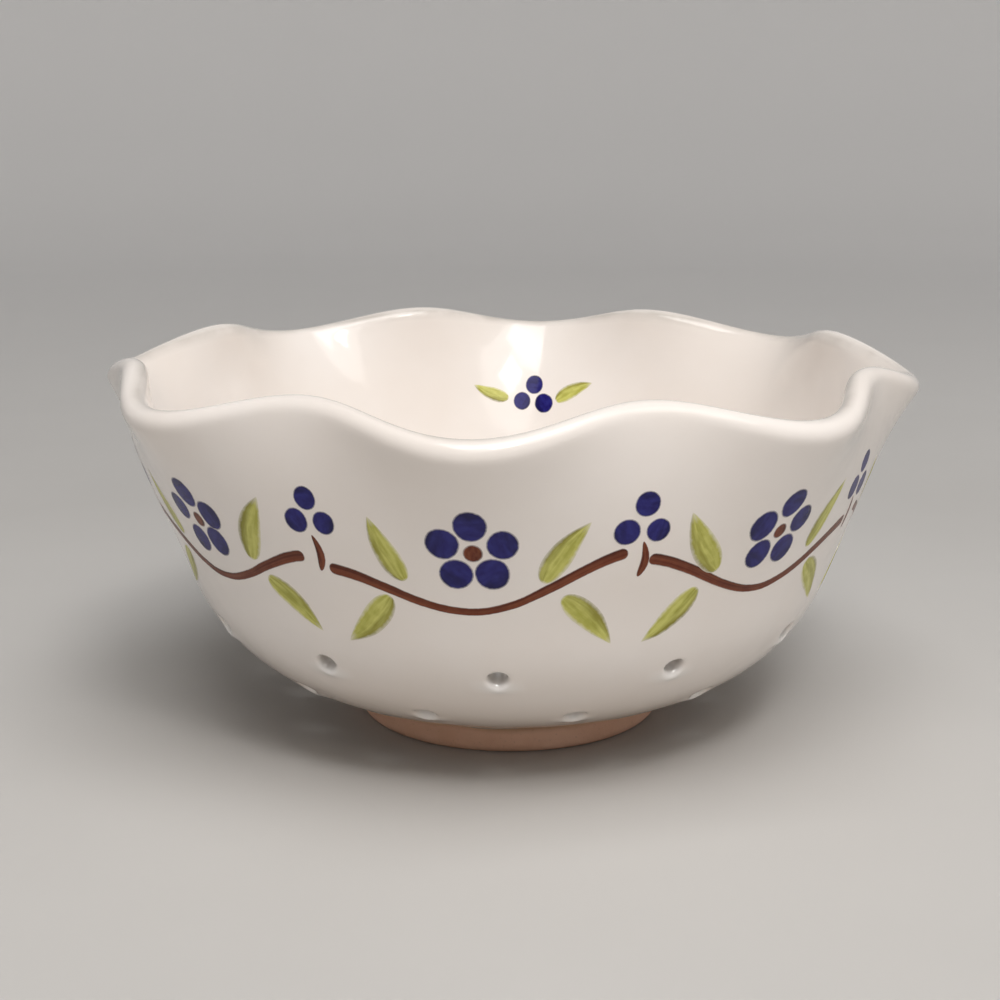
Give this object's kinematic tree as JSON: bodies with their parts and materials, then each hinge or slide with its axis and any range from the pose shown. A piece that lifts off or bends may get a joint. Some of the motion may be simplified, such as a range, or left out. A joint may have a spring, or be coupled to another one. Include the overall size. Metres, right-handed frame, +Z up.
{
  "type": "berry colander bowl",
  "caption": "Fluted glazed stoneware berry bowl with drain holes round its belly and in its floor, painted with a vine garland, on a bare clay foot ring.",
  "frame": {"origin": "middle of the foot ring's standing face", "axes": "+Z up along the bowl's axis; +X, -X, +Y and -Y each point at an outward lobe of the fluted lip"},
  "size_m": [0.2166, 0.2166, 0.0988],
  "materials": {
    "glazed_stoneware": "clear gloss glaze over off-white slip",
    "bare_clay": "unglazed pink-buff fired clay, matt"
  },
  "bodies": {
    "root": {"bowl_body": "glazed_stoneware", "foot_ring": "bare_clay"}
  },
  "joints": []
}
